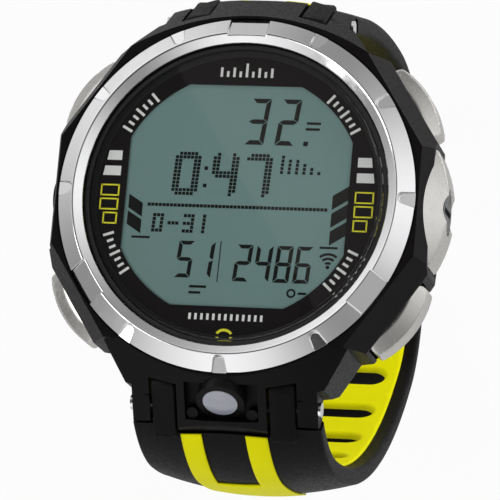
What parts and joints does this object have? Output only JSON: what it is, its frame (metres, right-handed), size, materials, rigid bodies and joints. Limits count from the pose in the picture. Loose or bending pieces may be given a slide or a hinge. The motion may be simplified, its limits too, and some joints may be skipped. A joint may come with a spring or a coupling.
{
  "type": "wrist dive computer",
  "caption": "Round wrist dive computer: black case, notched steel bezel, grey display, side push buttons, front lamp, and a black rubber strap with yellow lining.",
  "frame": {"origin": "centre of the back cover, in the plane of its outer face", "axes": "+Z out of the dial, +Y towards 12 o'clock, +X towards 3 o'clock"},
  "size_m": [0.0534, 0.0691, 0.0775],
  "materials": {
    "black_plastic": "matt, finely textured moulding",
    "polished_steel": "polished, faintly brushed",
    "plain_steel": "plain machined",
    "lens_glass": "clear, flat",
    "seal_rubber": "matt",
    "dial_black": "black print behind the lens",
    "display": "grey-green reflective display with dark segments",
    "white_plastic": "plain white",
    "board_green": "coated circuit board",
    "chip_black": "moulded package",
    "contact_brass": "plain sheet",
    "coil_copper": "enamelled winding",
    "inner_plastic": "plain moulding",
    "back_plastic": "fine matt moulding",
    "port_grey": "matt",
    "lamp_white": "translucent white dome",
    "strap_black": "matt moulded rubber",
    "strap_yellow": "matt moulded rubber"
  },
  "bodies": {
    "case": {"case": "black_plastic", "bezel": "polished_steel", "lens": "lens_glass", "lens_gasket": "seal_rubber", "dial_mask": "dial_black", "lcd_panel": "display", "lcd_frame": "white_plastic", "backlight": "white_plastic", "zebra_strips": "seal_rubber", "main_board": "board_green", "chips": "chip_black", "side_switches": "plain_steel", "piezo": "contact_brass", "radio_coil": "coil_copper", "chassis": "inner_plastic", "coin_cell": "plain_steel", "cell_contact": "contact_brass", "caseback": "back_plastic", "caseback_seal": "seal_rubber", "caseback_screws": "plain_steel", "hatch_seal": "seal_rubber", "pressure_sensor": "plain_steel", "sensor_seal": "seal_rubber", "side_plate": "polished_steel", "port_plug": "port_grey", "port_pins": "contact_brass", "lamp_lens": "lamp_white", "lamp_emitter": "white_plastic", "lug_pins": "polished_steel", "shaft_seals": "seal_rubber"},
    "button_2": {"cap_2": "polished_steel", "stem_2": "plain_steel", "spring_2": "plain_steel", "clip_2": "plain_steel"},
    "button_4": {"cap_4": "polished_steel", "stem_4": "plain_steel", "spring_4": "plain_steel", "clip_4": "plain_steel"},
    "button_8": {"cap_8": "polished_steel", "stem_8": "plain_steel", "spring_8": "plain_steel", "clip_8": "plain_steel"},
    "button_10": {"cap_10": "polished_steel", "stem_10": "plain_steel", "spring_10": "plain_steel", "clip_10": "plain_steel"},
    "strap_lower": {"strap_lower": "strap_black", "lining_lower": "strap_yellow", "inlay_lower": "strap_yellow"},
    "strap_upper": {"strap_upper": "strap_black", "lining_upper": "strap_yellow", "inlay_upper": "strap_yellow"},
    "buckle_frame": {"buckle_frame": "plain_steel", "buckle_pin": "plain_steel"},
    "buckle_tongue": {"buckle_tongue": "plain_steel"},
    "keeper": {"keeper": "strap_black"},
    "battery_hatch": {"battery_hatch": "back_plastic", "hatch_contact": "contact_brass"}
  },
  "joints": [
    {"name": "press_2", "type": "slide", "parent": "case", "child": "button_2", "axis": [-0.8339, -0.5519, 0], "range_m": [0, 0.0008], "stiffness_N_per_m": 900},
    {"name": "press_4", "type": "slide", "parent": "case", "child": "button_4", "axis": [-0.831, 0.5563, 0], "range_m": [0, 0.0008], "stiffness_N_per_m": 900},
    {"name": "press_8", "type": "slide", "parent": "case", "child": "button_8", "axis": [0.831, 0.5563, 0], "range_m": [0, 0.0008], "stiffness_N_per_m": 900},
    {"name": "press_10", "type": "slide", "parent": "case", "child": "button_10", "axis": [0.8339, -0.5519, 0], "range_m": [0, 0.0008], "stiffness_N_per_m": 900},
    {"name": "strap_lower_hinge", "type": "hinge", "parent": "case", "child": "strap_lower", "pos_m": [0, -0.0272, 0.0093], "axis": [-1, 0, 0], "range_deg": [0, 42]},
    {"name": "strap_upper_hinge", "type": "hinge", "parent": "case", "child": "strap_upper", "pos_m": [0, 0.02486, 0.00867], "axis": [1, 0, 0], "range_deg": [0, 42]},
    {"name": "buckle_hinge", "type": "hinge", "parent": "strap_upper", "child": "buckle_frame", "pos_m": [0, 0.02343, -0.04811], "axis": [1, 0, 0], "range_deg": [-10, 40]},
    {"name": "tongue_hinge", "type": "hinge", "parent": "buckle_frame", "child": "buckle_tongue", "pos_m": [0, 0.02343, -0.04811], "axis": [1, 0, 0], "range_deg": [0, 60]},
    {"name": "keeper_slide", "type": "hinge", "parent": "strap_upper", "child": "keeper", "pos_m": [0, -0.00449, -0.02523], "axis": [1, 0, 0], "range_deg": [-0.5, 10]},
    {"name": "hatch_turn", "type": "hinge", "parent": "case", "child": "battery_hatch", "pos_m": [0, 0, 0], "axis": [0, 0, 1], "range_deg": [0, 60]}
  ]
}
